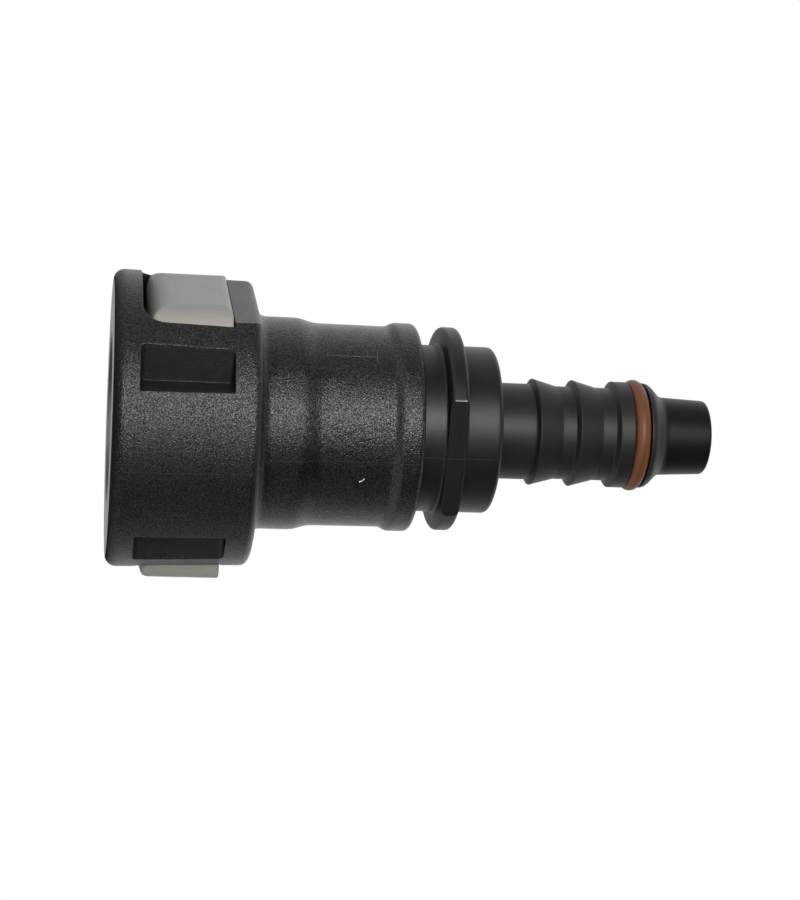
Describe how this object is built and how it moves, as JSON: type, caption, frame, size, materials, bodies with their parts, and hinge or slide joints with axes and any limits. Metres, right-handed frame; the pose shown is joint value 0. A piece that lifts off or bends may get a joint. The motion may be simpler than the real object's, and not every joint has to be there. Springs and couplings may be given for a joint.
{
  "type": "fuel line quick connector",
  "caption": "Black plastic push-on fuel line connector with a squeeze-to-release retainer, sealed spigot socket, flanged hub and barbed stem with a seal ring.",
  "frame": {"origin": "centre of the mouth face, on the bore axis", "axes": "+Z along the bore axis from the mouth to the end of the barbed stem; the release buttons face -X and +X, the latch jaws -Y and +Y"},
  "size_m": [0.0216, 0.0216, 0.0448],
  "materials": {
    "housing_plastic": "black moulded plastic with a fine grain",
    "retainer_plastic": "light grey moulded plastic, satin",
    "bush_plastic": "dark moulded plastic, satin",
    "inner_seal_rubber": "black rubber, satin",
    "stem_seal_rubber": "brown rubber, satin"
  },
  "bodies": {
    "housing": {"housing": "housing_plastic", "retainer_spring_arms": "retainer_plastic", "seal_bush": "bush_plastic", "outer_seal_ring": "inner_seal_rubber", "spacer_ring": "bush_plastic", "inner_seal_ring": "inner_seal_rubber", "stem_seal_ring": "stem_seal_rubber"},
    "left_button": {"left_release_button": "retainer_plastic"},
    "right_button": {"right_release_button": "retainer_plastic"},
    "front_jaw": {"front_latch_jaw": "retainer_plastic"},
    "rear_jaw": {"rear_latch_jaw": "retainer_plastic"}
  },
  "joints": [
    {"name": "left_button_press", "type": "slide", "parent": "housing", "child": "left_button", "axis": [1, 0, 0], "range_m": [0, 0.0012], "stiffness_N_per_m": 400, "deforming": ["retainer_spring_arms"]},
    {"name": "right_button_press", "type": "slide", "parent": "housing", "child": "right_button", "axis": [-1, 0, 0], "range_m": [0, 0.0012]},
    {"name": "front_jaw_release", "type": "slide", "parent": "housing", "child": "front_jaw", "axis": [0, -1, 0], "range_m": [0, 0.0012]},
    {"name": "rear_jaw_release", "type": "slide", "parent": "housing", "child": "rear_jaw", "axis": [0, 1, 0], "range_m": [0, 0.0012]}
  ],
  "couplings": [
    {"joint": "right_button_press", "follows": "left_button_press", "ratio": 1},
    {"joint": "front_jaw_release", "follows": "left_button_press", "ratio": 1},
    {"joint": "rear_jaw_release", "follows": "left_button_press", "ratio": 1}
  ]
}
